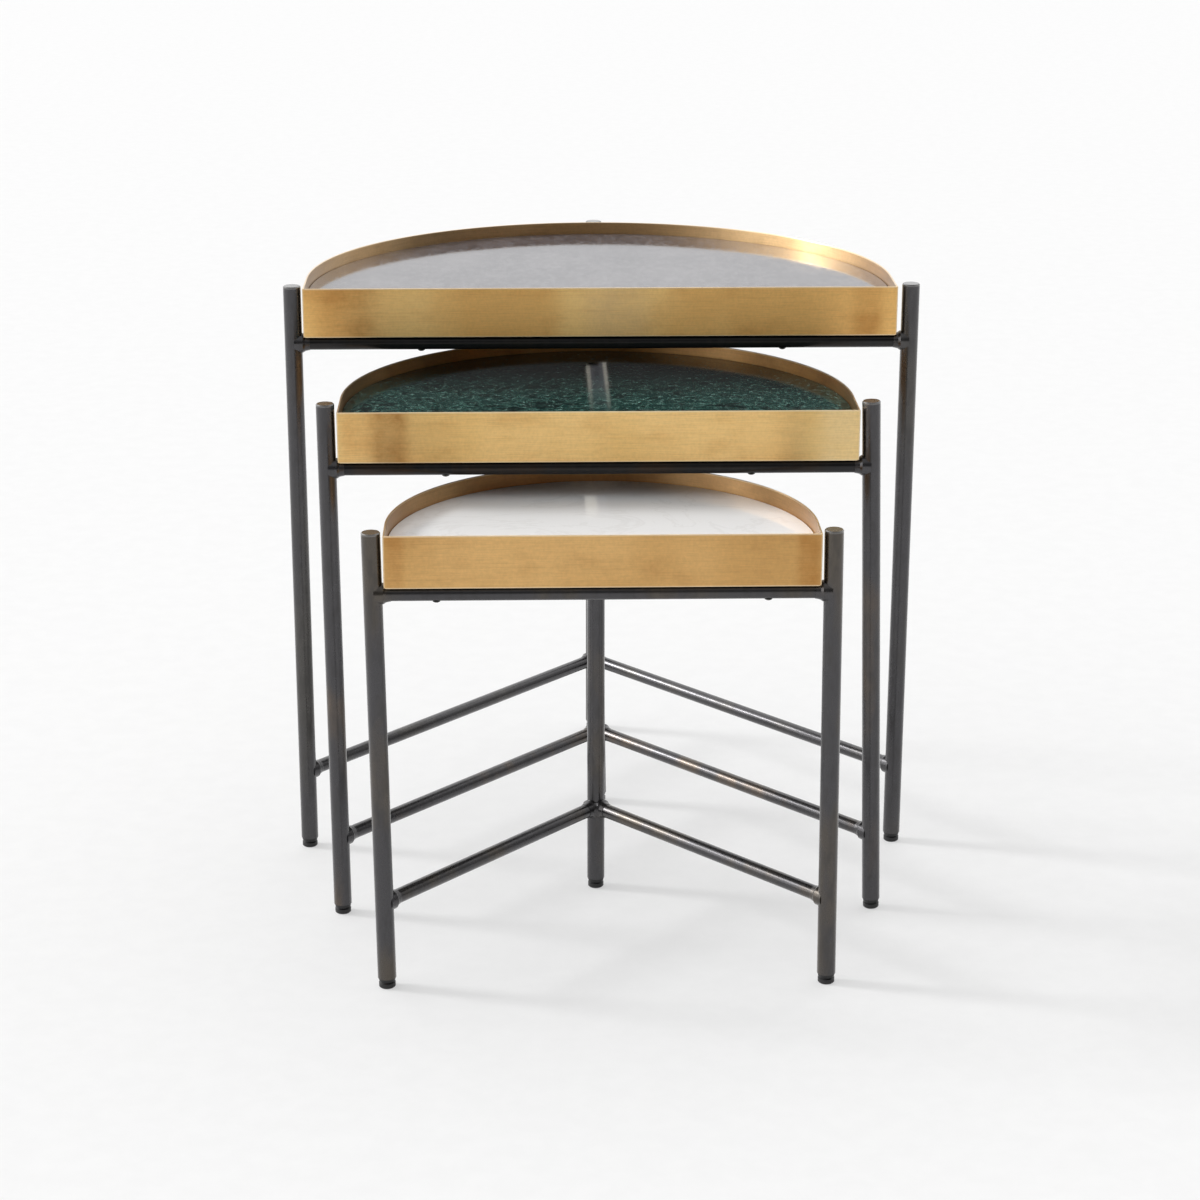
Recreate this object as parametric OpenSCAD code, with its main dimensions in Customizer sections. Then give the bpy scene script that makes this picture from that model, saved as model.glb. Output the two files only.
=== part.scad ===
// Set of three half-moon nesting tables: steel tube frames, brass trays and marble tops.
// Millimetres, +Z up, flat fronts towards -Y. The origin is on the floor, at the centre of the footprint.

/* [Large table] */
// Distance between the front leg axes
large_w = 562.5; // [520:0.5:640]
// Height of the legs
large_h = 548.5; // [545:0.5:620]
// Distance from the front leg axes to the rear leg axis at the top
large_d = 322; // [312:1:340]

/* [Medium table] */
// Distance between the front leg axes
medium_w = 472; // [450:1:490]
// Height of the legs
medium_h = 478; // [470:1:479]
// Distance from the front leg axes to the rear leg axis at the top
medium_d = 282; // [276:1:288]

/* [Small table] */
// Distance between the front leg axes
small_w = 380; // [360:1:400]
// Height of the legs
small_h = 409; // [395:1:410]
// Distance from the front leg axes to the rear leg axis at the top
small_d = 216; // [212:1:224]

/* [Frame] */
// Diameter of the leg tubes
leg_d = 16; // [14:0.5:17]
// Wall of the leg tubes
leg_wall = 1.5; // [1:0.1:2]
// Diameter of the front bars and the stretchers
rod_d = 12.7; // [10:0.1:13]
// Height of the large table's stretcher axes above the floor
large_stretcher_z = 77; // [60:0.5:100]
// Height of the medium table's stretcher axes above the floor
medium_stretcher_z = 73.5; // [60:0.5:100]
// Height of the small table's stretcher axes above the floor
small_stretcher_z = 79; // [60:0.5:100]
// Width of the flat spine bar under each tray
spine_w = 20; // [14:1:24]
// Thickness of the flat spine bar
spine_t = 4; // [3:0.5:5]

/* [Tray] */
// Height of the brass tray
tray_h = 45; // [44:0.1:48]
// Thickness of the brass strip
brass_t = 1.5; // [1.2:0.1:2]
// Height of the rim above the marble of the large and medium tables
rim_h = 11.5; // [8:0.5:14]
// Height of the rim above the marble of the small table
small_rim_h = 14; // [8:0.5:15]
// Thickness of the marble slab
marble_t = 12; // [8:1:14]
// Gap between the tray floor's edge, the board or the slab and the brass
inner_gap = 0.4; // [0.2:0.1:0.8]

/* [Arrangement] */
// How far each smaller table stands in front of the next larger one
stagger = 155; // [60:1:200]
// How far the medium table stands to the left of the large one
medium_side_step = 7.2; // [0:0.1:8]
// How far the small table stands to the left of the medium one
small_side_step = 0.8; // [0:0.1:6]

/* [Hidden] */
$fn = 64;

leg_r = leg_d / 2;
rod_r = rod_d / 2;
bore_r = leg_r - leg_wall;
corner_r = 2.5;
rear_gap = 0.5;

glide_h = 9;
glide_r = 7.2;
glide_groove_r = 6;
plug_l = 14;
cap_t = 2;
cap_chamfer = 0.8;
plug_gap = 0.05;
rear_leg_drop = 2;

screw_r = 2;
screw_head_r = 3.2;
screw_head_h = 1.3;
screw_reach = 16;

weld_l = 7;
weld_r = 2.6;
weld_gap = 0.02;

gunmetal = "#3f3e3d";
brass = "#b8935a";
black = "#1b1b1b";
zinc = "#8d8c88";
board_colour = "#a98d68";

// X and Y shifts of the left, right and rear feet: the hand-welded frames are a little off plumb,
// and every rear leg stands with its foot tucked in.
LARGE_FEET = [[0, 0], [0, 0], [0, -9]];
MEDIUM_FEET = [[3, 0], [14.5, 0], [7, -20]];
SMALL_FEET = [[5, 0], [4, 0], [0, -9]];

// Each table: leg spacing, leg height, leg depth, rim drop below the leg tops, tray side gap,
// front screw offset, stretcher height, foot shifts, X offset of the tray in the frame, marble colour,
// height of the rim above the marble
LARGE = [large_w, large_h, large_d, 1.5, 3.25, 165, large_stretcher_z, LARGE_FEET, -1.5, "#77777b", rim_h];
MEDIUM = [medium_w, medium_h, medium_d, 6.5, 2, 133, medium_stretcher_z, MEDIUM_FEET, 0, "#1d3f3b", rim_h];
SMALL = [small_w, small_h, small_d, 1.5, 2, 137, small_stretcher_z, SMALL_FEET, 0, "#e4e2df",
    small_rim_h];

function width(t) = t[0];
function height(t) = t[1];
function depth(t) = t[2];
function rim_z(t) = t[1] - t[3];
function floor_z(t) = rim_z(t) - tray_h;
function bar_z(t) = floor_z(t) - rod_r;
function marble_z(t) = rim_z(t) - t[10];
function tray_r(t) = t[0] / 2 - leg_r - t[4];
// The tray's back just clears the rear leg where the leg leans furthest in
function tray_cy(t) = leg_point(t, 0, floor_z(t))[1] - leg_r - rear_gap - tray_r(t);
function screw_x(t) = t[5];
function stretcher_z(t) = t[6];
function tray_x(t) = t[8];
function marble_colour(t) = t[9];
// Shift of a foot along X and Y; side is -1 for left, 1 for right and 0 for rear
function foot_shift(t, side) = t[7][side < 0 ? 0 : side > 0 ? 1 : 2];

// Front face of the trays, level with the front of the legs
tray_y = -leg_r;
rear_extent = large_d + leg_r;
front_extent = -2 * stagger - max(leg_r, rod_r + weld_r);
large_at = [0, -(rear_extent + front_extent) / 2, 0];
medium_at = large_at - [medium_side_step, stagger, 0];
small_at = medium_at - [small_side_step, stagger, 0];

// Point on a leg's axis at height z; side is -1 for front left, 1 for front right and 0 for rear
function leg_point(t, side, z) =
    let (lean = foot_shift(t, side) * (1 - z / height(t)))
    [side * width(t) / 2 + lean[0], (side == 0 ? depth(t) : 0) + lean[1], z];
// Top of a leg's cap
function leg_top(t, side) = height(t) - (side == 0 ? rear_leg_drop : 0);
// Height of a leaning foot's centre, so that its lower edge just meets the floor
function foot_lift(t, side) = (glide_r - 1) * norm(foot_shift(t, side)) / height(t);

// Places children, drawn along +Z from the origin, on the line from a towards b
module along(a, b) {
    v = b - a;
    l = norm(v);
    translate(a)
        rotate([0, acos(v[2] / l), atan2(v[1], v[0])])
            children();
}

module rod(a, b, r) {
    along(a, b)
        cylinder(h = norm(b - a), r = r);
}

// Tube between two points with its bore running right through
module tube(a, b) {
    difference() {
        rod(a, b, leg_r);
        along(a, b)
            translate([0, 0, -1])
                cylinder(h = norm(b - a) + 2, r = bore_r);
    }
}

// Outside of one leg, long enough to trim what is welded to it
module leg_envelope(t, side) {
    along(leg_point(t, side, 0), leg_point(t, side, height(t)))
        translate([0, 0, -5])
            cylinder(h = height(t) + 10, r = leg_r);
}

module all_leg_envelopes(t) {
    for (side = [-1, 0, 1])
        leg_envelope(t, side);
}

module leg(t, side) {
    color(gunmetal)
        tube(
            leg_point(t, side, glide_h + foot_lift(t, side)),
            leg_point(t, side, leg_top(t, side) - cap_t)
        );
}

// Turned top plug with a chamfered head and a short stem in the bore
module cap() {
    rotate_extrude()
        polygon([
            [0, -plug_l],
            [bore_r - plug_gap, -plug_l],
            [bore_r - plug_gap, 0],
            [leg_r, 0],
            [leg_r, cap_t - cap_chamfer],
            [leg_r - cap_chamfer, cap_t],
            [0, cap_t]
        ]);
}

module leg_caps(t) {
    color(gunmetal)
        for (side = [-1, 0, 1])
            along(leg_point(t, side, leg_top(t, side) - cap_t), leg_point(t, side, height(t)))
                cap();
}

// Grooved foot with a stem in the bore; its own z = 0 is the floor
module glide() {
    rotate_extrude()
        polygon([
            [0, 0],
            [glide_r - 1, 0],
            [glide_r, 1],
            [glide_r, 4.5],
            [glide_groove_r, 5.2],
            [glide_groove_r, 6.4],
            [glide_r, 7],
            [glide_r, glide_h],
            [bore_r - plug_gap, glide_h],
            [bore_r - plug_gap, glide_h + plug_l],
            [0, glide_h + plug_l]
        ]);
}

module glides(t) {
    color(black)
        for (side = [-1, 0, 1])
            along(leg_point(t, side, foot_lift(t, side)), leg_point(t, side, height(t)))
                glide();
}

module front_bar_envelope(t) {
    rod(leg_point(t, -1, bar_z(t)), leg_point(t, 1, bar_z(t)), rod_r);
}

// Front bar, coped to the legs, with two holes for the tray screws
module front_bar(t) {
    color(gunmetal)
        difference() {
            front_bar_envelope(t);
            all_leg_envelopes(t);
            for (side = [-1, 1])
                translate([side * screw_x(t), 0, bar_z(t) - rod_d])
                    cylinder(h = 2 * rod_d, r = screw_r);
        }
}

function spine_screw_y(t) = depth(t) * 0.55;

// Flat bar under the tray floor, coped to the front bar and the rear leg
module spine_bar(t) {
    color(gunmetal)
        difference() {
            translate([-spine_w / 2, 0, floor_z(t) - spine_t])
                cube([spine_w, depth(t), spine_t]);
            front_bar_envelope(t);
            translate([-spine_w, -rod_d, floor_z(t) - rod_d])
                cube([2 * spine_w, rod_d, 2 * rod_d]);
            all_leg_envelopes(t);
            translate([0, spine_screw_y(t), floor_z(t) - 2 * spine_t])
                cylinder(h = 3 * spine_t, r = screw_r);
        }
}

module stretcher_envelope(t, side) {
    rod(leg_point(t, side, stretcher_z(t)), leg_point(t, 0, stretcher_z(t)), rod_r);
}

// Everything beyond the mitre plane through the rear leg, less a hair so that mitred pieces don't touch
module other_half(t, side) {
    mitre_x = leg_point(t, 0, stretcher_z(t))[0];
    translate([mitre_x + (side > 0 ? weld_gap - width(t) : -weld_gap), 0, 0])
        cube([width(t), 2 * depth(t), height(t)]);
}

// Each stretcher is mitred where the pair meets on the rear leg
module stretcher(t, side) {
    color(gunmetal)
        difference() {
            stretcher_envelope(t, side);
            leg_envelope(t, side);
            leg_envelope(t, 0);
            other_half(t, side);
        }
}

// Flared bead round a rod where it meets a tube; drawn from the tube axis, pointing along +Z
module bead() {
    rotate_extrude()
        polygon([
            [rod_r + weld_gap, 1],
            [rod_r + weld_r, 1],
            [rod_r + weld_r, leg_r + 0.8],
            [rod_r + weld_r * 0.45, leg_r + weld_l * 0.4],
            [rod_r + 0.3, leg_r + weld_l],
            [rod_r + weld_gap, leg_r + weld_l]
        ]);
}

// Bead where the front bar meets a front leg, cut away under the tray
module front_bar_weld(t, side) {
    difference() {
        along(leg_point(t, side, bar_z(t)), leg_point(t, -side, bar_z(t)))
            bead();
        leg_envelope(t, side);
        translate([tray_x(t) - tray_r(t) - 0.4, -width(t) / 2, floor_z(t) - weld_gap])
            cube([2 * tray_r(t) + 0.8, width(t), tray_h]);
    }
}

module stretcher_front_weld(t, side) {
    difference() {
        along(leg_point(t, side, stretcher_z(t)), leg_point(t, 0, stretcher_z(t)))
            bead();
        leg_envelope(t, side);
    }
}

module stretcher_rear_weld(t, side) {
    difference() {
        along(leg_point(t, 0, stretcher_z(t)), leg_point(t, side, stretcher_z(t)))
            bead();
        leg_envelope(t, 0);
        other_half(t, side);
    }
}

module welds(t) {
    color(gunmetal)
        for (side = [-1, 1]) {
            front_bar_weld(t, side);
            stretcher_front_weld(t, side);
            stretcher_rear_weld(t, side);
        }
}

// Half-moon outline with straight sides, inset from the outside of the tray
module moon(t, inset) {
    r = tray_r(t) - inset;
    translate([tray_x(t), 0])
        intersection() {
            union() {
                translate([0, tray_cy(t)])
                    circle(r = r, $fn = 192);
                translate([-r, tray_y])
                    square([2 * r, tray_cy(t) - tray_y]);
            }
            translate([-r, tray_y + inset])
                square([2 * r, 2 * r]);
        }
}

// Flat front strip with small round lower corners
module tray_front(t) {
    color(brass)
        translate([tray_x(t), tray_y + brass_t, floor_z(t)])
            rotate([90, 0, 0])
                linear_extrude(height = brass_t)
                    union() {
                        translate([-tray_r(t), corner_r])
                            square([2 * tray_r(t), tray_h - corner_r]);
                        translate([-tray_r(t) + corner_r, 0])
                            square([2 * (tray_r(t) - corner_r), tray_h]);
                        for (side = [-1, 1])
                            translate([side * (tray_r(t) - corner_r), corner_r])
                                circle(r = corner_r);
                    }
}

// Curved strip; it butts against the back of the front strip
module tray_band(t) {
    color(brass)
        translate([0, 0, floor_z(t)])
            linear_extrude(height = tray_h)
                difference() {
                    moon(t, 0);
                    moon(t, brass_t);
                    translate([-width(t), tray_y - 1])
                        square([2 * width(t), brass_t + 1]);
                }
}

module tray_floor(t) {
    color(gunmetal)
        difference() {
            translate([0, 0, floor_z(t)])
                linear_extrude(height = brass_t)
                    moon(t, brass_t + inner_gap);
            screw_holes(t);
        }
}

// Pilot holes for the screws, through the floor sheet and into the board
module screw_holes(t) {
    for (side = [-1, 1])
        translate([side * screw_x(t), 0, floor_z(t) - 1])
            cylinder(h = screw_reach + 1, r = screw_r);
    translate([0, spine_screw_y(t), floor_z(t) - 1])
        cylinder(h = screw_reach + 1, r = screw_r);
}

module core_board(t) {
    color(board_colour)
        difference() {
            translate([0, 0, floor_z(t) + brass_t])
                linear_extrude(height = marble_z(t) - marble_t - floor_z(t) - brass_t)
                    moon(t, brass_t + inner_gap);
            screw_holes(t);
        }
}

module marble_top(t) {
    color(marble_colour(t))
        translate([0, 0, marble_z(t) - marble_t])
            linear_extrude(height = marble_t)
                moon(t, brass_t + inner_gap);
}

// Pan-head screw; its own z = 0 is the seat under the head
module screw(grip) {
    rotate_extrude()
        polygon([
            [0, -screw_head_h],
            [screw_head_r * 0.6, -screw_head_h],
            [screw_head_r, -screw_head_h * 0.4],
            [screw_head_r, 0],
            [screw_r, 0],
            [screw_r, grip + screw_reach - 2],
            [0, grip + screw_reach]
        ]);
}

module tray_screws(t) {
    color(zinc) {
        for (side = [-1, 1])
            difference() {
                translate([side * screw_x(t), 0, bar_z(t) - rod_r])
                    screw(rod_d);
                front_bar_seat(t, side);
            }
        translate([0, spine_screw_y(t), floor_z(t) - spine_t])
            screw(spine_t);
    }
}

// The part of the front bar that a screw head would cut into
module front_bar_seat(t, side) {
    difference() {
        front_bar_envelope(t);
        translate([side * screw_x(t), 0, bar_z(t) - rod_d])
            cylinder(h = 2 * rod_d, r = screw_r);
    }
}

module place(position) {
    translate(position)
        children();
}

place(large_at) leg(LARGE, -1);  // large_front_leg_left
place(large_at) leg(LARGE, 1);  // large_front_leg_right
place(large_at) leg(LARGE, 0);  // large_rear_leg
place(large_at) leg_caps(LARGE);  // large_leg_caps
place(large_at) glides(LARGE);  // large_glides
place(large_at) front_bar(LARGE);  // large_front_bar
place(large_at) spine_bar(LARGE);  // large_spine_bar
place(large_at) stretcher(LARGE, -1);  // large_stretcher_left
place(large_at) stretcher(LARGE, 1);  // large_stretcher_right
place(large_at) welds(LARGE);  // large_welds
place(large_at) tray_front(LARGE);  // large_tray_front
place(large_at) tray_band(LARGE);  // large_tray_band
place(large_at) tray_floor(LARGE);  // large_tray_floor
place(large_at) core_board(LARGE);  // large_core_board
place(large_at) marble_top(LARGE);  // large_marble_top
place(large_at) tray_screws(LARGE);  // large_tray_screws

place(medium_at) leg(MEDIUM, -1);  // medium_front_leg_left
place(medium_at) leg(MEDIUM, 1);  // medium_front_leg_right
place(medium_at) leg(MEDIUM, 0);  // medium_rear_leg
place(medium_at) leg_caps(MEDIUM);  // medium_leg_caps
place(medium_at) glides(MEDIUM);  // medium_glides
place(medium_at) front_bar(MEDIUM);  // medium_front_bar
place(medium_at) spine_bar(MEDIUM);  // medium_spine_bar
place(medium_at) stretcher(MEDIUM, -1);  // medium_stretcher_left
place(medium_at) stretcher(MEDIUM, 1);  // medium_stretcher_right
place(medium_at) welds(MEDIUM);  // medium_welds
place(medium_at) tray_front(MEDIUM);  // medium_tray_front
place(medium_at) tray_band(MEDIUM);  // medium_tray_band
place(medium_at) tray_floor(MEDIUM);  // medium_tray_floor
place(medium_at) core_board(MEDIUM);  // medium_core_board
place(medium_at) marble_top(MEDIUM);  // medium_marble_top
place(medium_at) tray_screws(MEDIUM);  // medium_tray_screws

place(small_at) leg(SMALL, -1);  // small_front_leg_left
place(small_at) leg(SMALL, 1);  // small_front_leg_right
place(small_at) leg(SMALL, 0);  // small_rear_leg
place(small_at) leg_caps(SMALL);  // small_leg_caps
place(small_at) glides(SMALL);  // small_glides
place(small_at) front_bar(SMALL);  // small_front_bar
place(small_at) spine_bar(SMALL);  // small_spine_bar
place(small_at) stretcher(SMALL, -1);  // small_stretcher_left
place(small_at) stretcher(SMALL, 1);  // small_stretcher_right
place(small_at) welds(SMALL);  // small_welds
place(small_at) tray_front(SMALL);  // small_tray_front
place(small_at) tray_band(SMALL);  // small_tray_band
place(small_at) tray_floor(SMALL);  // small_tray_floor
place(small_at) core_board(SMALL);  // small_core_board
place(small_at) marble_top(SMALL);  // small_marble_top
place(small_at) tray_screws(SMALL);  // small_tray_screws
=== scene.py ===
"""Looks for a nest of three half-moon tables: brass trays, polished stone tops and dark steel frames."""

import math

import bmesh
import bpy
from mathutils import Matrix, Vector


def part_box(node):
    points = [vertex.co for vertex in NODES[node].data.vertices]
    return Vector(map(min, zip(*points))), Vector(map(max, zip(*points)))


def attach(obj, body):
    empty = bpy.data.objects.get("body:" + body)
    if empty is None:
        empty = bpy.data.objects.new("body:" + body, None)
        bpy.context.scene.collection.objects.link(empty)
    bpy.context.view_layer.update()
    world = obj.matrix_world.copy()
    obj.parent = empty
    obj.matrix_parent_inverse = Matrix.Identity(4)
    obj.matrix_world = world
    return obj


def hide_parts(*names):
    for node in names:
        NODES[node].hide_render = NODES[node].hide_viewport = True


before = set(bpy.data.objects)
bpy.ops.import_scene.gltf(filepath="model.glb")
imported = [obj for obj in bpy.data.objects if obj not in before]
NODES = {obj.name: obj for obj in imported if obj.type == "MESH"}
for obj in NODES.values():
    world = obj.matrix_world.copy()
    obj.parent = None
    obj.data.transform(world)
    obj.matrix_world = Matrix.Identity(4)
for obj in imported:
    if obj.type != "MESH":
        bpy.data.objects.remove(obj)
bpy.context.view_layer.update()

# Sheet, rim and edge sizes in metres
EDGE_ROUND = 0.00035
STONE_ROUND = 0.0006
CORNER_ROUND = 0.0025
ARC_STEPS = 144
CORNER_STEPS = 8
ROUND_SEGMENTS = 3
# Width of the lighter brass edges: rubbed wear plus a painted edge highlight
EDGE_WEAR_AND_HIGHLIGHT = 0.0014
# Width of the painted highlight strips along the spine bars' sides
PAINTED_HIGHLIGHT_EDGE = 0.004


# ---------------------------------------------------------------- node helpers


class Shader:
    """A node material under construction, ending in a Principled BSDF."""

    def __init__(self, name):
        self.material = bpy.data.materials.new(name)
        self.material.use_nodes = True
        self.tree = self.material.node_tree
        self.tree.nodes.clear()
        self.output = self.tree.nodes.new("ShaderNodeOutputMaterial")
        self.bsdf = self.tree.nodes.new("ShaderNodeBsdfPrincipled")
        self.tree.links.new(self.bsdf.outputs[0], self.output.inputs["Surface"])
        self.coords = self.tree.nodes.new("ShaderNodeTexCoord").outputs["Object"]

    def put(self, socket, value):
        """Sets a socket to a number or colour, or links it to another node's output."""
        if isinstance(value, bpy.types.NodeSocket):
            self.tree.links.new(value, socket)
        else:
            socket.default_value = value

    def surface(self, **values):
        """Fills Principled sockets; an underscore in a name stands for a space."""
        for name, value in values.items():
            self.put(self.bsdf.inputs[name.replace("_", " ")], value)

    def stretch(self, scale, shift=(0, 0, 0), source=None):
        """Coordinates scaled along each axis, so a bigger number packs detail tighter."""
        node = self.tree.nodes.new("ShaderNodeMapping")
        self.put(node.inputs["Vector"], source or self.coords)
        node.inputs["Location"].default_value = shift
        node.inputs["Scale"].default_value = scale
        return node.outputs[0]

    def noise(self, vector, detail, rough, distort=0.0):
        node = self.tree.nodes.new("ShaderNodeTexNoise")
        self.put(node.inputs["Vector"], vector)
        node.inputs["Scale"].default_value = 1.0
        node.inputs["Detail"].default_value = detail
        node.inputs["Roughness"].default_value = rough
        node.inputs["Distortion"].default_value = distort
        return node.outputs[0]

    def cells(self, vector, scale):
        node = self.tree.nodes.new("ShaderNodeTexVoronoi")
        self.put(node.inputs["Vector"], vector)
        node.inputs["Scale"].default_value = scale
        return node.outputs["Distance"]

    def span(self, value, low, high, start=0.0, end=1.0):
        """Maps value from low..high to start..end with soft ends."""
        node = self.tree.nodes.new("ShaderNodeMapRange")
        node.interpolation_type = "SMOOTHSTEP"
        self.put(node.inputs["Value"], value)
        node.inputs["From Min"].default_value = low
        node.inputs["From Max"].default_value = high
        node.inputs["To Min"].default_value = start
        node.inputs["To Max"].default_value = end
        return node.outputs[0]

    def mix(self, factor, first, second, blend="MIX"):
        """Colour mix; sockets 6 and 7 and output 2 are the colour ones."""
        node = self.tree.nodes.new("ShaderNodeMix")
        node.data_type = "RGBA"
        node.blend_type = blend
        self.put(node.inputs["Factor"], factor)
        self.put(node.inputs[6], first)
        self.put(node.inputs[7], second)
        return node.outputs[2]

    def math(self, operation, first, second=0.0):
        node = self.tree.nodes.new("ShaderNodeMath")
        node.operation = operation
        self.put(node.inputs[0], first)
        self.put(node.inputs[1], second)
        return node.outputs[0]

    def axis(self, index):
        node = self.tree.nodes.new("ShaderNodeSeparateXYZ")
        self.put(node.inputs[0], self.coords)
        return node.outputs[index]

    def bump(self, height, strength, distance):
        node = self.tree.nodes.new("ShaderNodeBump")
        self.put(node.inputs["Height"], height)
        node.inputs["Strength"].default_value = strength
        node.inputs["Distance"].default_value = distance
        return node.outputs[0]


def rgb(red, green, blue):
    """Linear colour from screen values of 0 to 255."""
    return tuple((c / 255) ** 2.2 for c in (red, green, blue)) + (1.0,)


# ---------------------------------------------------------------- materials


def heat_marks(s, colour, marks, across, smudges):
    """Browned or paled patches; each mark is centre and half width over the radius, colour, amount."""
    for centre, reach, tint, amount in marks:
        away = s.math("ABSOLUTE", s.math("SUBTRACT", across, centre))
        patch = s.span(away, reach * 1.1, reach * 0.3)
        patch = s.math("MULTIPLY", patch, s.span(smudges, 0.35, 0.62, amount * 0.55, amount))
        colour = s.mix(patch, colour, tint)
    return colour


def brass_material(name, tray, light, middle, dark, marks, seed, lacquer=0.0):
    """Antique brass, brushed lengthwise: cloudy patina, heat marks, and edges painted lighter, partly as
    rubbed wear and partly as a painted highlight.
    """
    s = Shader(name)
    shift = (seed * 1.7, seed * 0.9, seed * 0.4)
    clouds = s.noise(s.stretch((9, 9, 5), shift), detail=2, rough=0.45)
    smudges = s.noise(s.stretch((22, 22, 34), shift), detail=5, rough=0.62)
    streaks = s.noise(s.stretch((14, 14, 620), shift), detail=5, rough=0.6)
    hairs = s.noise(s.stretch((60, 60, 1700), shift), detail=3, rough=0.6)
    weave = s.noise(s.stretch((420, 420, 300), shift), detail=3, rough=0.6)
    across = s.math("MULTIPLY", s.math("SUBTRACT", s.axis(0), tray.middle_x), 1 / tray.radius)
    colour = s.mix(s.span(clouds, 0.38, 0.60), light, middle)
    colour = s.mix(s.span(smudges, 0.46, 0.74, 0, 0.28), colour, dark)
    colour = heat_marks(s, colour, marks, across, smudges)
    colour = s.mix(s.span(streaks, 0.46, 0.76, 0, 0.20), colour, dark)
    shade = s.math("ADD", s.span(hairs, 0.25, 0.75, 0.92, 1.06), s.span(weave, 0.3, 0.7, -0.04, 0.04))
    colour = s.mix(1.0, colour, shade, "MULTIPLY")
    # Top, bottom and end edges painted lighter: partly rubbed wear, partly a painted highlight where the
    # sheet edges catch the light
    half = (tray.top - tray.bottom) / 2
    upright = s.math("ABSOLUTE", s.math("SUBTRACT", s.axis(2), tray.bottom + half))
    rubbed = s.span(upright, half - EDGE_WEAR_AND_HIGHLIGHT, half - EDGE_WEAR_AND_HIGHLIGHT / 3)
    sideways = s.math("MULTIPLY", s.math("ABSOLUTE", across), tray.radius)
    ends = s.span(sideways, tray.radius - EDGE_WEAR_AND_HIGHLIGHT, tray.radius - EDGE_WEAR_AND_HIGHLIGHT / 3)
    colour = s.mix(s.math("MULTIPLY", s.math("MAXIMUM", rubbed, ends), 0.7), colour, rgb(250, 228, 190))
    tangent = s.tree.nodes.new("ShaderNodeCombineXYZ")
    tangent.inputs["Z"].default_value = 1.0
    s.surface(
        Base_Color=colour,
        Metallic=1.0,
        Roughness=s.math("ADD", s.span(clouds, 0.3, 0.7, 0.34, 0.40), s.span(hairs, 0.3, 0.7, -0.03, 0.03)),
        Anisotropic=0.72,
        Tangent=tangent.outputs[0],
        Coat_Weight=lacquer,
        Coat_Roughness=0.3,
        Normal=s.bump(s.math("ADD", hairs, streaks), 0.10, 0.0002),
    )
    return s.material


def gunmetal_material(name, plain, rub, roughness, coat):
    """Dark steel under a worn satin lacquer, with faint brown rub marks and fine draw lines."""
    s = Shader(name)
    patches = s.noise(s.stretch((20, 20, 8)), detail=4, rough=0.55)
    mottle = s.noise(s.stretch((150, 150, 50)), detail=4, rough=0.6)
    lines = s.noise(s.stretch((900, 900, 25)), detail=3, rough=0.6)
    colour = s.mix(s.span(patches, 0.46, 0.68), plain, rub)
    colour = s.mix(s.span(mottle, 0.45, 0.7, 0, 0.35), colour, rgb(56, 55, 54))
    s.surface(
        Base_Color=colour,
        Metallic=0.85,
        Roughness=s.span(mottle, 0.3, 0.7, roughness - 0.04, roughness + 0.05),
        Specular_IOR_Level=0.5,
        Coat_Weight=coat,
        Coat_Roughness=0.2,
        Normal=s.bump(s.math("ADD", mottle, lines), 0.08, 0.0002),
    )
    return s.material


def black_paint_material():
    """Flat black paint under the trays, lightly dusty."""
    s = Shader("black_paint")
    dust = s.noise(s.stretch((60, 60, 60)), detail=5, rough=0.65)
    colour = s.mix(s.span(dust, 0.4, 0.7), rgb(32, 32, 32), rgb(48, 47, 46))
    s.surface(
        Base_Color=colour,
        Roughness=s.span(dust, 0.3, 0.7, 0.68, 0.82),
        Specular_IOR_Level=0.3,
        Normal=s.bump(dust, 0.2, 0.0003),
    )
    return s.material


def bare_steel_material():
    """Plain mill steel of the flat spine bars, with painted highlight strips along the side edges, placed for
    the large table's bar.
    """
    s = Shader("bare_steel")
    scale = s.noise(s.stretch((160, 30, 160)), detail=5, rough=0.65)
    spine_low, spine_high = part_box("large_spine_bar")
    half = (spine_high.x - spine_low.x) / 2
    sideways = s.math("ABSOLUTE", s.math("SUBTRACT", s.axis(0), (spine_high.x + spine_low.x) / 2))
    # Painted highlight: a light strip along each side edge of the spine bar, standing in for the light those
    # edges catch
    edge = s.span(sideways, half - PAINTED_HIGHLIGHT_EDGE, half - PAINTED_HIGHLIGHT_EDGE + 0.001)
    colour = s.mix(s.span(scale, 0.42, 0.68), rgb(84, 84, 96), rgb(120, 118, 124))
    colour = s.mix(edge, colour, rgb(235, 230, 216))
    s.surface(
        Base_Color=colour,
        Metallic=0.6,
        Roughness=s.span(scale, 0.3, 0.7, 0.36, 0.55),
        Normal=s.bump(scale, 0.15, 0.0003),
    )
    return s.material


def polish(s, colour, roughness, height, strength, shine=1.6):
    """A sealed, polished stone surface with a faint tooth."""
    s.surface(
        Base_Color=colour,
        Roughness=roughness,
        Specular_IOR_Level=1.0,
        IOR=shine,
        Normal=s.bump(height, strength, 0.0002),
    )


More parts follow.
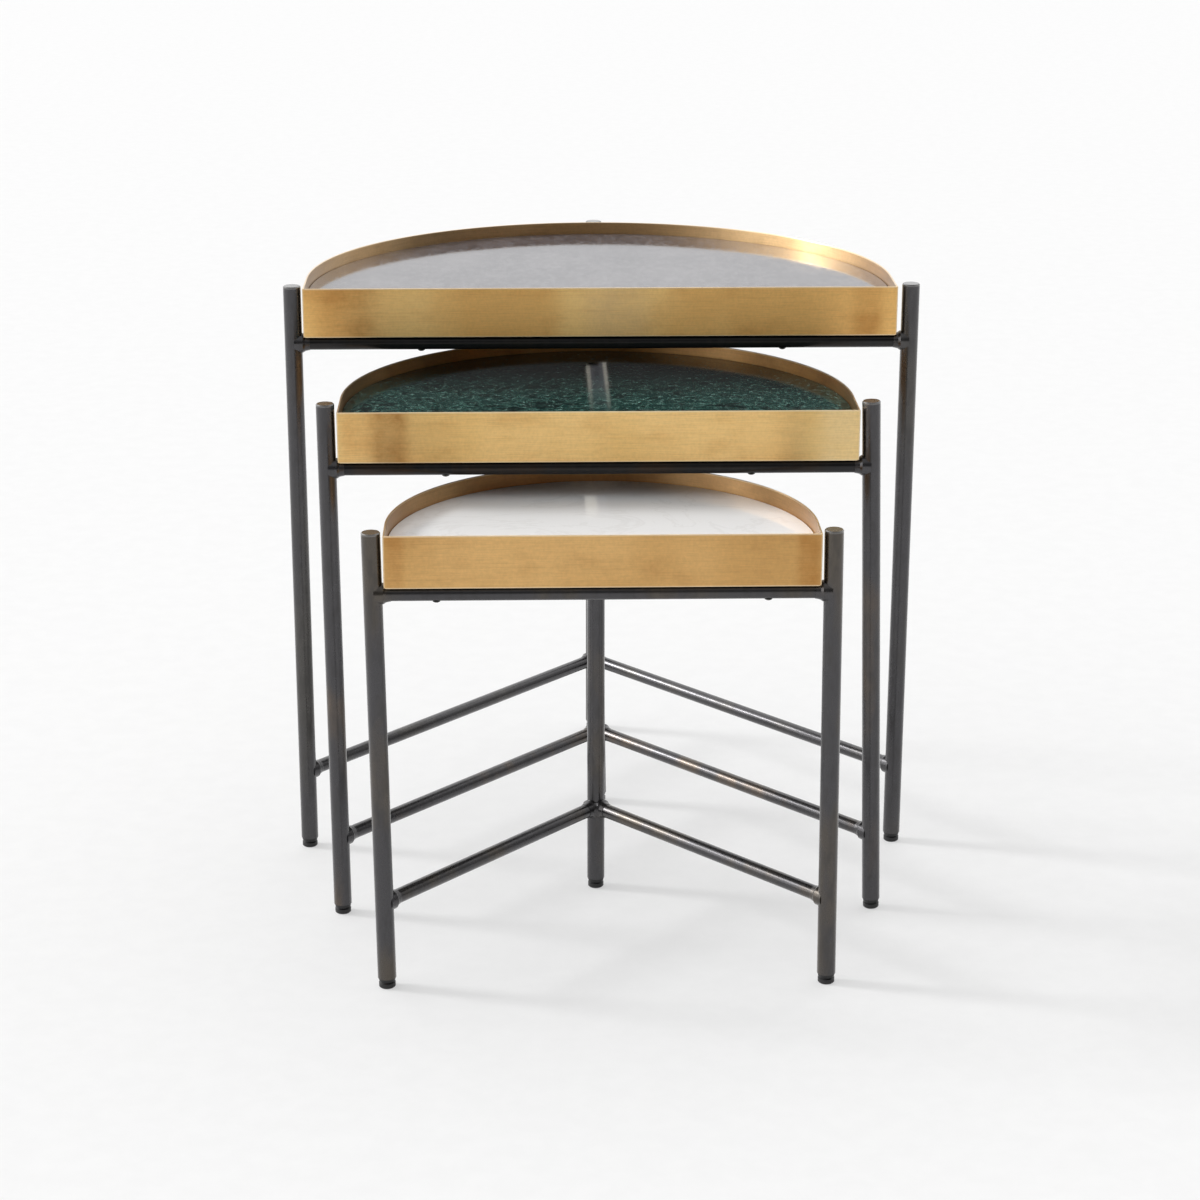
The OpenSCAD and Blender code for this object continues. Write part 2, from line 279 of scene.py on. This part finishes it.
def grey_stone_material():
    """Dark grey stone with fine pale speckle, short streaks and faint warm clouds."""
    s = Shader("grey_stone")
    clouds = s.noise(s.stretch((14, 14, 14)), detail=6, rough=0.6, distort=0.4)
    speck = s.noise(s.stretch((210, 85, 210)), detail=5, rough=0.75)
    streaks = s.noise(s.stretch((60, 120, 60)), detail=5, rough=0.65, distort=0.6)
    crystals = s.cells(s.coords, 420)
    colour = s.mix(s.span(clouds, 0.35, 0.65), rgb(66, 65, 72), rgb(86, 84, 89))
    colour = s.mix(s.span(streaks, 0.48, 0.70, 0, 0.4), colour, rgb(116, 113, 117))
    colour = s.mix(s.span(speck, 0.42, 0.66, 0, 0.40), colour, rgb(136, 134, 138))
    colour = s.mix(s.span(crystals, 0.28, 0.05, 0, 0.35), colour, rgb(44, 43, 47))
    polish(s, colour, s.span(speck, 0.3, 0.7, 0.04, 0.14), s.math("ADD", speck, streaks), 0.10, shine=2.0)
    return s.material


def green_stone_material():
    """Very dark green stone with torn, lighter green veins and pale flecks."""
    s = Shader("green_stone")
    warp = s.noise(s.stretch((12, 16, 20)), detail=5, rough=0.6)
    drift = s.mix(0.05, s.coords, warp, "ADD")
    flow = s.noise(s.stretch((48, 70, 60), source=drift), detail=8, rough=0.72, distort=0.9)
    veins = s.math("ABSOLUTE", s.math("SUBTRACT", flow, 0.5))
    flecks = s.noise(s.stretch((190, 150, 200)), detail=6, rough=0.78)
    colour = s.mix(s.span(flow, 0.35, 0.68), rgb(12, 30, 29), rgb(26, 58, 54))
    colour = s.mix(s.span(veins, 0.020, 0.0, 0, 0.75), colour, rgb(96, 144, 132))
    colour = s.mix(s.span(flecks, 0.52, 0.68, 0, 0.6), colour, rgb(140, 178, 168))
    polish(s, colour, s.span(flecks, 0.3, 0.7, 0.05, 0.16), flecks, 0.08)
    return s.material


def white_stone_material():
    """White marble with soft, faint grey veins."""
    s = Shader("white_stone")
    flow = s.noise(s.stretch((8, 14, 10)), detail=6, rough=0.6, distort=1.6)
    veins = s.math("ABSOLUTE", s.math("SUBTRACT", flow, 0.5))
    clouds = s.noise(s.stretch((5, 5, 5)), detail=4, rough=0.5)
    grain = s.noise(s.stretch((500, 500, 500)), detail=3, rough=0.6)
    colour = s.mix(s.span(clouds, 0.35, 0.65), rgb(248, 248, 248), rgb(242, 242, 242))
    colour = s.mix(s.span(veins, 0.030, 0.0, 0, 0.20), colour, rgb(205, 203, 200))
    colour = s.mix(s.span(grain, 0.4, 0.7, 0, 0.06), colour, rgb(214, 212, 210))
    polish(s, colour, s.span(clouds, 0.3, 0.7, 0.04, 0.10), grain, 0.03)
    return s.material


def black_plastic_material():
    """Moulded black nylon, fine-grained and scuffed where it meets the floor."""
    s = Shader("black_nylon")
    grain = s.noise(s.stretch((900, 900, 900)), detail=3, rough=0.6)
    scuffs = s.noise(s.stretch((90, 90, 260)), detail=5, rough=0.65)
    colour = s.mix(s.span(scuffs, 0.5, 0.72, 0, 0.5), rgb(26, 26, 27), rgb(52, 51, 50))
    s.surface(
        Base_Color=colour,
        Roughness=s.span(scuffs, 0.3, 0.7, 0.34, 0.55),
        Normal=s.bump(grain, 0.25, 0.0002),
    )
    return s.material


def board_material():
    """Pale packing board with pressed fibres."""
    s = Shader("fibre_board")
    fibres = s.noise(s.stretch((260, 60, 700)), detail=5, rough=0.7)
    colour = s.mix(s.span(fibres, 0.3, 0.7), rgb(160, 128, 92), rgb(188, 158, 120))
    s.surface(Base_Color=colour, Roughness=0.85, Normal=s.bump(fibres, 0.3, 0.0004))
    return s.material


def screw_material():
    """Blackened screw steel, rubbed brighter on its high spots."""
    s = Shader("screw_steel")
    wear = s.noise(s.stretch((420, 420, 420)), detail=4, rough=0.6)
    colour = s.mix(s.span(wear, 0.45, 0.7), rgb(70, 69, 67), rgb(128, 126, 122))
    s.surface(
        Base_Color=colour,
        Metallic=1.0,
        Roughness=s.span(wear, 0.3, 0.7, 0.30, 0.5),
        Normal=s.bump(wear, 0.15, 0.0002),
    )
    return s.material


# The floor glows a little itself, which keeps the shadows pale
FLOOR_LIFT = 0.465


def floor_material():
    """Plain pale floor with a barely visible paper tooth."""
    s = Shader("pale_floor")
    tooth = s.noise(s.stretch((40, 40, 40)), detail=4, rough=0.6)
    colour = s.mix(s.span(tooth, 0.3, 0.7), rgb(162, 162, 162), rgb(165, 165, 165))
    s.surface(
        Base_Color=colour,
        Roughness=0.9,
        Specular_IOR_Level=0.1,
        Emission_Color=(1.0, 1.0, 1.0, 1.0),
        Emission_Strength=FLOOR_LIFT,
    )
    return s.material


# ---------------------------------------------------------------- geometry of one tray


class Tray:
    """Sizes of one tray, read from its CAD nodes."""

    def __init__(self, table):
        low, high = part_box(table + "_tray_band")
        front_low, front_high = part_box(table + "_tray_front")
        stone_low, stone_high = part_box(table + "_marble_top")
        self.table = table
        self.middle_x = (low.x + high.x) / 2
        self.radius = (high.x - low.x) / 2
        self.front_y = front_low.y
        self.sheet = front_high.y - front_low.y
        self.arc_y = high.y - self.radius
        self.bottom = low.z
        self.top = high.z
        self.stone_bottom = stone_low.z
        self.stone_top = stone_high.z
        self.stone_inset = stone_low.x - low.x

    def outline(self, inset, front):
        """Half-moon path from the front left end, round the back, to the front right end."""
        r = self.radius - inset
        points = [Vector((self.middle_x - r, front, 0))]
        for i in range(ARC_STEPS + 1):
            turn = math.pi * (1 - i / ARC_STEPS)
            x = self.middle_x + r * math.cos(turn)
            y = self.arc_y + r * math.sin(turn)
            points.append(Vector((x, y, 0)))
        points.append(Vector((self.middle_x + r, front, 0)))
        return points


def new_piece(name, bm, material):
    mesh = bpy.data.meshes.new(name)
    bmesh.ops.recalc_face_normals(bm, faces=bm.faces)
    bm.to_mesh(mesh)
    bm.free()
    piece = bpy.data.objects.new(name, mesh)
    bpy.context.scene.collection.objects.link(piece)
    mesh.materials.append(material)
    for face in mesh.polygons:
        face.use_smooth = True
    return piece


def soften(piece, width):
    """Rounds the sharp edges and keeps the flat faces flat."""
    bevel = piece.modifiers.new("rounded_edges", "BEVEL")
    bevel.width = width
    bevel.segments = ROUND_SEGMENTS
    bevel.limit_method = "ANGLE"
    bevel.angle_limit = math.radians(40)
    normals = piece.modifiers.new("flat_faces", "WEIGHTED_NORMAL")
    normals.keep_sharp = True
    return piece


def prism(points, low, high):
    """Closed solid between two heights over an outline."""
    bm = bmesh.new()
    bottom = [bm.verts.new((p.x, p.y, low)) for p in points]
    top = [bm.verts.new((p.x, p.y, high)) for p in points]
    bm.faces.new(bottom)
    bm.faces.new(top)
    count = len(points)
    for i in range(count):
        j = (i + 1) % count
        bm.faces.new((bottom[i], bottom[j], top[j], top[i]))
    return bm


def tray_band(tray, material):
    """Strip of sheet bent round the half-moon, open at the front."""
    front = tray.front_y + tray.sheet
    outer = tray.outline(0, front)
    inner = tray.outline(tray.sheet, front)
    bm = bmesh.new()
    rings = []
    for a, b in zip(outer, inner):
        corners = [(a, tray.bottom), (a, tray.top), (b, tray.top), (b, tray.bottom)]
        rings.append([bm.verts.new((p.x, p.y, z)) for p, z in corners])
    for first, second in zip(rings, rings[1:]):
        for i in range(4):
            j = (i + 1) % 4
            bm.faces.new((first[i], first[j], second[j], second[i]))
    bm.faces.new(rings[0])
    bm.faces.new(rings[-1])
    piece = new_piece(tray.table + "_tray_band_sheet", bm, material)
    return soften(piece, EDGE_ROUND)


def tray_front(tray, material):
    """Flat front strip with small round lower corners."""
    left = tray.middle_x - tray.radius
    right = tray.middle_x + tray.radius
    path = [(left, tray.top), (right, tray.top)]
    for side, edge in ((1, right), (-1, left)):
        centre = edge - side * CORNER_ROUND
        steps = range(CORNER_STEPS + 1)
        corner = [math.pi / 2 * i / CORNER_STEPS for i in steps]
        if side < 0:
            corner.reverse()
        for turn in corner:
            x = centre + side * CORNER_ROUND * math.cos(turn)
            z = tray.bottom + CORNER_ROUND * (1 - math.sin(turn))
            path.append((x, z))
    bm = bmesh.new()
    front = [bm.verts.new((x, tray.front_y, z)) for x, z in path]
    back = [bm.verts.new((x, tray.front_y + tray.sheet, z)) for x, z in path]
    bm.faces.new(front)
    bm.faces.new(back)
    for i in range(len(path)):
        j = (i + 1) % len(path)
        bm.faces.new((front[i], front[j], back[j], back[i]))
    piece = new_piece(tray.table + "_tray_front_sheet", bm, material)
    return soften(piece, EDGE_ROUND)


def stone_top(tray, material):
    """Polished half-moon slab with an eased edge."""
    front = tray.front_y + tray.stone_inset
    bm = prism(tray.outline(tray.stone_inset, front), tray.stone_bottom, tray.stone_top)
    piece = new_piece(tray.table + "_stone_slab", bm, material)
    return soften(piece, STONE_ROUND)


# ---------------------------------------------------------------- build the object


def dress(node, material):
    """Gives a CAD node its material."""
    slots = NODES[node].data.materials
    slots.clear()
    slots.append(material)


def build_table(table, front_brass, band_brass, stone, steel, bar_steel):
    tray = Tray(table)
    pieces = (
        (tray_band(tray, band_brass), "tray_band", "antique_brass"),
        (tray_front(tray, front_brass), "tray_front", "antique_brass"),
        (stone_top(tray, stone), "marble_top", stone.name.replace("stone", "marble")),
    )
    for piece, node, slot in pieces:
        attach(piece, table)
        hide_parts(table + "_" + node)
    for node in NODES:
        if node.startswith(table + "_"):
            kind = node[len(table) + 1:]
            dress(node, bar_steel if kind == "front_bar" else SHARED.get(kind, steel))


SHARED = {
    # Cap steel painted lighter than the leg steel: a painted reflection of the bright backdrop on the cap
    # tops
    "leg_caps": gunmetal_material("gunmetal_cap_painted_reflection", rgb(96, 95, 95), rgb(104, 101, 98), 0.24, 0.9),
    "spine_bar": bare_steel_material(),
    "tray_floor": black_paint_material(),
    "glides": black_plastic_material(),
    "core_board": board_material(),
    "tray_screws": screw_material(),
}
DEEP = rgb(44, 44, 45)
GREY = rgb(70, 69, 71)
UMBER = rgb(172, 112, 52)
STRAW = rgb(255, 228, 172)


def build_large():
    tray = Tray("large")
    tones = (rgb(254, 214, 142), rgb(246, 196, 122), rgb(190, 126, 68))
    # The band is the same brass as the front, painted darker: painted shade for the inner wall
    inner = (rgb(222, 184, 132), rgb(206, 166, 114), rgb(150, 106, 64))
    marks = ((-0.86, 0.14, UMBER, 0.45), (0.90, 0.07, UMBER, 0.5), (0.05, 0.14, rgb(216, 186, 142), 0.5))
    build_table(
        "large",
        brass_material("brass_large_front", tray, *tones, marks, 1.0),
        brass_material("brass_large_band_painted_shade", tray, *inner, (), 1.5, 0.8),
        grey_stone_material(),
        gunmetal_material("gunmetal_large", GREY, rgb(76, 74, 72), 0.29, 0.5),
        gunmetal_material("gunmetal_large_bar", DEEP, rgb(48, 46, 44), 0.33, 0.2),
    )


def build_medium():
    tray = Tray("medium")
    tones = (rgb(250, 214, 146), rgb(244, 206, 136), rgb(196, 142, 80))
    # The band is the same brass as the front, painted darker: painted shade for the inner wall
    inner = (rgb(222, 172, 112), rgb(206, 154, 94), rgb(150, 100, 56))
    marks = ((-0.92, 0.10, rgb(226, 174, 108), 0.7), (-0.80, 0.09, UMBER, 0.75), (0.93, 0.12, STRAW, 0.6))
    build_table(
        "medium",
        brass_material("brass_medium_front", tray, *tones, marks, 4.0),
        brass_material("brass_medium_band_painted_shade", tray, *inner, (), 4.5, 0.5),
        green_stone_material(),
        gunmetal_material("gunmetal_medium", GREY, rgb(90, 80, 71), 0.29, 0.5),
        gunmetal_material("gunmetal_medium_bar", DEEP, rgb(56, 48, 42), 0.33, 0.2),
    )


def build_small():
    tray = Tray("small")
    tones = (rgb(226, 182, 120), rgb(216, 170, 108), rgb(168, 118, 70))
    # The band is the same brass as the front, painted slightly darker: painted shade for the inner wall
    inner = (rgb(220, 178, 124), rgb(206, 162, 108), rgb(156, 110, 68))
    marks = ((0.94, 0.07, UMBER, 0.55), (-0.95, 0.06, UMBER, 0.4))
    build_table(
        "small",
        brass_material("brass_small_front", tray, *tones, marks, 7.0),
        brass_material("brass_small_band_painted_shade", tray, *inner, (), 7.5, 0.5),
        white_stone_material(),
        gunmetal_material("gunmetal_small", GREY, rgb(82, 76, 69), 0.29, 0.5),
        gunmetal_material("gunmetal_small_bar", GREY, rgb(80, 75, 69), 0.33, 0.35),
    )


build_large()
build_medium()
build_small()


# ---------------------------------------------------------------- floor, light and camera

FLOOR_RADIUS = 60.0
BACKDROP = 0.96
AMBIENT = 0.11
SKY_GREY = (0.8, 0.8, 0.8, 1.0)
# Axis of the direction looked in, where the glow starts, where it is full, and how strong it is
GLOWS = (
    ("Z", 0.35, 0.80, 0.66),
    ("Y", -0.3, 0.5, 1.15),
    ("X", -0.3, -0.9, 1.15),
    ("X", -0.72, -0.96, 1.7),
)


def floor():
    bm = bmesh.new()
    bmesh.ops.create_circle(bm, cap_ends=True, segments=96, radius=FLOOR_RADIUS)
    piece = new_piece("floor", bm, floor_material())


def studio_world():
    """Bright overhead, left and back; dim room in front; plain pale backdrop in view."""
    world = bpy.data.worlds.new("studio")
    bpy.context.scene.world = world
    world.use_nodes = True
    tree = world.node_tree
    tree.nodes.clear()
    coords = tree.nodes.new("ShaderNodeTexCoord").outputs["Generated"]
    split = tree.nodes.new("ShaderNodeSeparateXYZ")
    tree.links.new(coords, split.inputs[0])

    def glow(axis, low, high, amount):
        node = tree.nodes.new("ShaderNodeMapRange")
        node.interpolation_type = "SMOOTHSTEP"
        tree.links.new(split.outputs[axis], node.inputs["Value"])
        node.inputs["From Min"].default_value = low
        node.inputs["From Max"].default_value = high
        node.inputs["To Max"].default_value = amount
        return node.outputs[0]

    total = None
    for axis, low, high, amount in GLOWS:
        node = tree.nodes.new("ShaderNodeMath")
        tree.links.new(glow(axis, low, high, amount), node.inputs[0])
        if total is None:
            node.inputs[1].default_value = AMBIENT
        else:
            tree.links.new(total, node.inputs[1])
        total = node.outputs[0]
    light = tree.nodes.new("ShaderNodeBackground")
    light.inputs["Color"].default_value = SKY_GREY
    tree.links.new(total, light.inputs["Strength"])
    shown = tree.nodes.new("ShaderNodeBackground")
    shown.inputs["Color"].default_value = (1.0, 1.0, 1.0, 1.0)
    shown.inputs["Strength"].default_value = BACKDROP
    path = tree.nodes.new("ShaderNodeLightPath")
    choose = tree.nodes.new("ShaderNodeMixShader")
    tree.links.new(path.outputs["Is Camera Ray"], choose.inputs["Fac"])
    tree.links.new(light.outputs[0], choose.inputs[1])
    tree.links.new(shown.outputs[0], choose.inputs[2])
    output = tree.nodes.new("ShaderNodeOutputWorld")
    tree.links.new(choose.outputs[0], output.inputs["Surface"])


KEY_STRENGTH = 2.0
KEY_SOFTNESS = math.radians(11.5)
KEY_ELEVATION = math.radians(27)
KEY_BEHIND = math.radians(14)


def key_light():
    """Low, soft key from the left, a little behind the tables."""
    data = bpy.data.lights.new("key", "SUN")
    data.energy = KEY_STRENGTH
    data.angle = KEY_SOFTNESS
    lamp = bpy.data.objects.new("key", data)
    bpy.context.scene.collection.objects.link(lamp)
    flat = math.cos(KEY_ELEVATION)
    towards = Vector((-flat * math.cos(KEY_BEHIND), flat * math.sin(KEY_BEHIND), math.sin(KEY_ELEVATION)))
    lamp.rotation_euler = towards.to_track_quat("Z", "Y").to_euler()


CAMERA_AT = Vector((-0.0714, -2.5196, 1.0764))
CAMERA_TURN = math.radians(1.589)
CAMERA_DOWN = math.radians(18.253)
CAMERA_ROLL = math.radians(0.093)
CAMERA_LENS = 84.41
SENSOR = 36.0


def camera():
    data = bpy.data.cameras.new("camera")
    data.lens = CAMERA_LENS
    data.sensor_width = SENSOR
    data.clip_end = 200.0
    eye = bpy.data.objects.new("camera", data)
    bpy.context.scene.collection.objects.link(eye)
    flat = math.cos(CAMERA_DOWN)
    forward = Vector((math.sin(CAMERA_TURN) * flat, math.cos(CAMERA_TURN) * flat, -math.sin(CAMERA_DOWN)))
    right = Vector((math.cos(CAMERA_TURN), -math.sin(CAMERA_TURN), 0))
    up = right.cross(forward)
    level = Matrix((right, up, -forward)).transposed()
    eye.matrix_world = Matrix.Translation(CAMERA_AT) @ (level @ Matrix.Rotation(CAMERA_ROLL, 3, "Z")).to_4x4()
    bpy.context.scene.camera = eye


floor()
studio_world()
key_light()
camera()
bpy.context.scene.view_settings.view_transform = "Standard"
